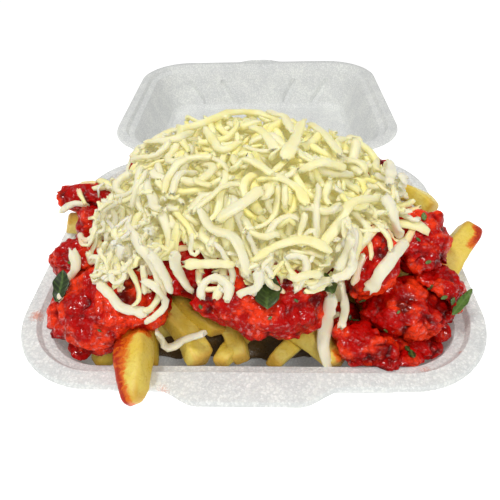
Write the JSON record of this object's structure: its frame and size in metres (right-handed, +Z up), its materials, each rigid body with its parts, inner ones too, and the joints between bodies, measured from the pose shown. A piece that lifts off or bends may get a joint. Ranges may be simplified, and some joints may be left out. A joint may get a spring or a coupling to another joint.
{
  "type": "cheese fries in a takeaway box",
  "caption": "Open hinged foam takeaway box filled with chips, red sauced chicken pieces, green herbs and a heap of coarsely grated cheese.",
  "frame": {"origin": "middle of the tray's flat underside, on the table", "axes": "+Z up, +Y from the tray's front lip to the hinge and the lid that lies open behind it, +X to the right as the box is faced from its front lip"},
  "size_m": [0.1912, 0.3276, 0.0929],
  "materials": {
    "foam": "matte",
    "fries": "satin",
    "sauce": "wet gloss",
    "chicken": "wet gloss",
    "cheese": "satin",
    "herb": "satin"
  },
  "bodies": {
    "box": {"tray": "foam", "fries": "fries", "sauce": "sauce", "chicken_front_right": "chicken", "chicken_right_lower": "chicken", "chicken_right_outer": "chicken", "chicken_right_upper": "chicken", "chicken_right_inner": "chicken", "chicken_centre": "chicken", "chicken_centre_left": "chicken", "chicken_front_left": "chicken", "chicken_left_lower": "chicken", "chicken_left_middle": "chicken", "chicken_left_upper": "chicken", "chicken_back_left": "chicken", "chicken_back": "chicken", "chicken_back_right": "chicken", "cheese": "cheese", "strand_left_lower": "cheese", "strand_left_upper": "cheese", "strand_fries": "cheese", "herb_right": "herb", "herb_centre": "herb", "herb_centre_right": "herb", "herb_left": "herb"},
    "lid": {"lid": "foam"}
  },
  "joints": [
    {"name": "lid_hinge", "type": "hinge", "parent": "box", "child": "lid", "pos_m": [0, 0.08, 0.038], "axis": [1, 0, 0], "range_deg": [0, 150]}
  ]
}
